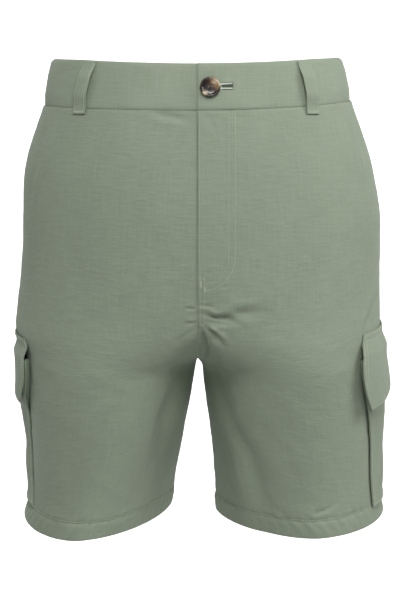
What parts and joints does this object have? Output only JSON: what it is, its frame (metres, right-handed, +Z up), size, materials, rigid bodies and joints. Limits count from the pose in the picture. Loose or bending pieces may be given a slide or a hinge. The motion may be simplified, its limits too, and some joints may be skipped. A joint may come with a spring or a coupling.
{
  "type": "cargo shorts",
  "caption": "Sage green woven cargo shorts, filled out as when worn and hollow, with a buttoned waistband, belt loops and flapped patch pockets on the outer legs.",
  "frame": {"origin": "middle of the waist opening, at half the height of the waistband, where the wearer's waist holds the shorts", "axes": "+X towards the wearer's left, -Y towards the front, +Z up"},
  "size_m": [0.3775, 0.2796, 0.4546],
  "materials": {
    "cloth": "plain weave with a faint slub and a soft sheen, sage green",
    "horn_button": "mottled horn pattern, polished"
  },
  "bodies": {
    "root": {"front_left": "cloth", "back_left": "cloth", "waistband_left": "cloth", "belt_loop_front_left": "cloth", "belt_loop_back_left": "cloth", "cargo_pocket_left": "cloth", "cargo_gusset_left": "cloth", "cargo_flap_left": "cloth", "front_right": "cloth", "back_right": "cloth", "waistband_right": "cloth", "belt_loop_front_right": "cloth", "belt_loop_back_right": "cloth", "cargo_pocket_right": "cloth", "cargo_gusset_right": "cloth", "cargo_flap_right": "cloth", "belt_loop_back_centre": "cloth", "fly_shield": "cloth", "waist_button": "horn_button"}
  },
  "joints": []
}
